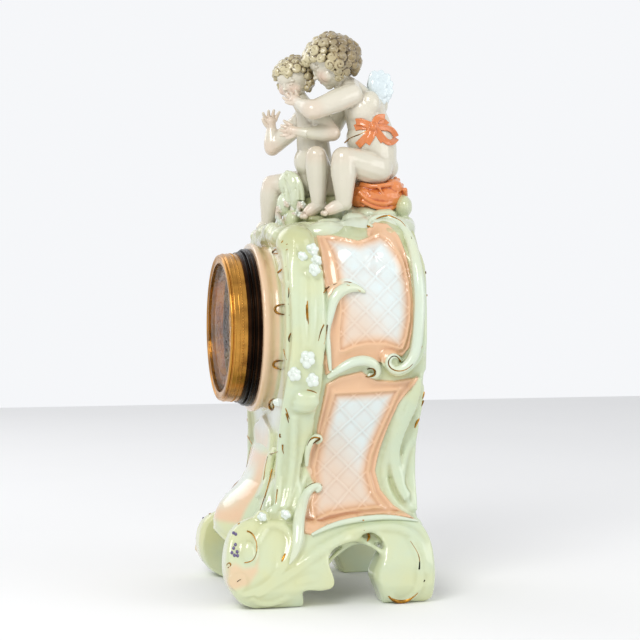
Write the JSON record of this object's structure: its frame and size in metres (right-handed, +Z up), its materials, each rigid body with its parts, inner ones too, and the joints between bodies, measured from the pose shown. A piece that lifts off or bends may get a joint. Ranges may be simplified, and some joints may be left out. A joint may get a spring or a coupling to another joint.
{
  "type": "mantel clock",
  "caption": "Rococo porcelain mantel clock: domed glass bezel on a drum collar, waisted scrolled case with lattice side panels, scroll feet and two child figures on top.",
  "frame": {"origin": "bottom centre of the bounding box, in the plane that the four feet stand on", "axes": "+X to the right when the dial is faced, -Y to the front where the dial is, +Z up"},
  "size_m": [0.15, 0.1364, 0.3728],
  "materials": {
    "celadon_porcelain": "glossy glaze",
    "peach_porcelain": "glossy glaze",
    "white_porcelain": "glossy glaze",
    "pale_blue_porcelain": "glossy glaze",
    "orange_porcelain": "glossy glaze",
    "bisque_flesh": "satin glaze",
    "brown_hair": "satin glaze",
    "white_enamel": "gloss enamel",
    "polished_brass": "polished and lacquered",
    "dark_brass": "darkened",
    "movement_brass": "brushed",
    "clear_glass": "polished, bevelled",
    "blued_steel": "blued",
    "plain_steel": "satin"
  },
  "bodies": {
    "case": {"winged_child_torso": "bisque_flesh", "winged_child_head": "bisque_flesh", "winged_child_legs": "bisque_flesh", "winged_child_arms": "bisque_flesh", "seated_child_torso": "bisque_flesh", "seated_child_head": "bisque_flesh", "seated_child_legs": "bisque_flesh", "seated_child_arms": "bisque_flesh", "winged_child_hair": "brown_hair", "seated_child_hair": "brown_hair", "winged_child_wings": "pale_blue_porcelain", "ribbon_bow": "orange_porcelain", "orange_drapery": "orange_porcelain", "green_drapery": "celadon_porcelain", "rock_seat": "celadon_porcelain", "case_body": "celadon_porcelain", "drum_collar": "peach_porcelain", "base_apron": "celadon_porcelain", "front_foot_right": "celadon_porcelain", "front_foot_left": "celadon_porcelain", "rear_foot_right": "celadon_porcelain", "rear_foot_left": "celadon_porcelain", "upper_side_panel_right": "peach_porcelain", "upper_side_panel_left": "peach_porcelain", "lower_side_panel_right": "peach_porcelain", "lower_side_panel_left": "peach_porcelain", "corner_pilaster_right": "celadon_porcelain", "corner_pilaster_left": "celadon_porcelain", "rear_scroll_right": "celadon_porcelain", "rear_scroll_left": "celadon_porcelain", "front_cartouche": "peach_porcelain", "applied_flowers": "white_porcelain", "bezel_rear_ring": "dark_brass", "bezel_hinge_pin": "dark_brass", "dial": "white_enamel", "dial_centre": "polished_brass", "movement_front_plate": "movement_brass", "movement_rear_plate": "movement_brass", "movement_pillars": "movement_brass", "pillar_screws": "blued_steel", "suspension_block": "movement_brass", "movement_straps": "movement_brass", "strap_screws": "blued_steel", "rear_ring": "dark_brass", "rear_door_pin": "dark_brass"},
    "bezel": {"bezel_front_ring": "polished_brass", "bezel_glass": "clear_glass"},
    "rear_door": {"rear_door": "polished_brass"},
    "minute_arbor": {"centre_wheel": "movement_brass", "cannon_pinion": "plain_steel", "minute_hand": "blued_steel"},
    "hour_arbor": {"hour_wheel": "movement_brass", "hour_hand": "blued_steel"},
    "minute_wheel": {"minute_wheel": "movement_brass"},
    "third_arbor": {"third_wheel": "movement_brass"},
    "escape_arbor": {"escape_wheel": "movement_brass"},
    "barrel": {"going_barrel": "movement_brass"},
    "winding_arbor": {"winding_arbor": "plain_steel"},
    "pendulum": {"pendulum": "polished_brass"},
    "anchor": {"anchor_and_crutch": "plain_steel"}
  },
  "joints": [
    {"name": "bezel_hinge", "type": "hinge", "parent": "case", "child": "bezel", "pos_m": [-0.0526, -0.0497, 0.1745], "axis": [0, 0, -1], "range_deg": [0, 110]},
    {"name": "rear_door_hinge", "type": "hinge", "parent": "case", "child": "rear_door", "pos_m": [-0.0416, 0.0663, 0.1745], "axis": [0, 0, 1], "range_deg": [0, 110]},
    {"name": "minute_arbor_spin", "type": "hinge", "parent": "case", "child": "minute_arbor", "pos_m": [0, -0.02, 0.1745], "axis": [0, 1, 0], "continuous": true},
    {"name": "hour_wheel_spin", "type": "hinge", "parent": "case", "child": "hour_arbor", "pos_m": [0, -0.04, 0.1745], "axis": [0, 1, 0], "continuous": true},
    {"name": "minute_wheel_spin", "type": "hinge", "parent": "case", "child": "minute_wheel", "pos_m": [-0.01442, -0.04, 0.1745], "axis": [0, 1, 0], "continuous": true},
    {"name": "third_wheel_spin", "type": "hinge", "parent": "case", "child": "third_arbor", "pos_m": [0.0113, -0.02, 0.1855], "axis": [0, 1, 0], "continuous": true},
    {"name": "escape_wheel_spin", "type": "hinge", "parent": "case", "child": "escape_arbor", "pos_m": [0, -0.02, 0.1965], "axis": [0, 1, 0], "continuous": true},
    {"name": "barrel_spin", "type": "hinge", "parent": "case", "child": "barrel", "pos_m": [0, -0.02, 0.15432], "axis": [0, 1, 0], "continuous": true},
    {"name": "winding_spin", "type": "hinge", "parent": "case", "child": "winding_arbor", "pos_m": [0, -0.02, 0.15432], "axis": [0, 1, 0], "continuous": true},
    {"name": "pendulum_swing", "type": "hinge", "parent": "case", "child": "pendulum", "pos_m": [0, 0.004, 0.2075], "axis": [0, 1, 0], "range_deg": [-4, 4]},
    {"name": "anchor_swing", "type": "hinge", "parent": "case", "child": "anchor", "pos_m": [0, -0.02, 0.2075], "axis": [0, 1, 0], "range_deg": [-4, 4]}
  ],
  "couplings": [
    {"joint": "hour_wheel_spin", "follows": "minute_arbor_spin", "ratio": 0.083333},
    {"joint": "minute_wheel_spin", "follows": "minute_arbor_spin", "ratio": -0.33333},
    {"joint": "third_wheel_spin", "follows": "minute_arbor_spin", "ratio": -6},
    {"joint": "escape_wheel_spin", "follows": "minute_arbor_spin", "ratio": 36},
    {"joint": "barrel_spin", "follows": "minute_arbor_spin", "ratio": -0.2},
    {"joint": "anchor_swing", "follows": "pendulum_swing", "ratio": 1}
  ]
}
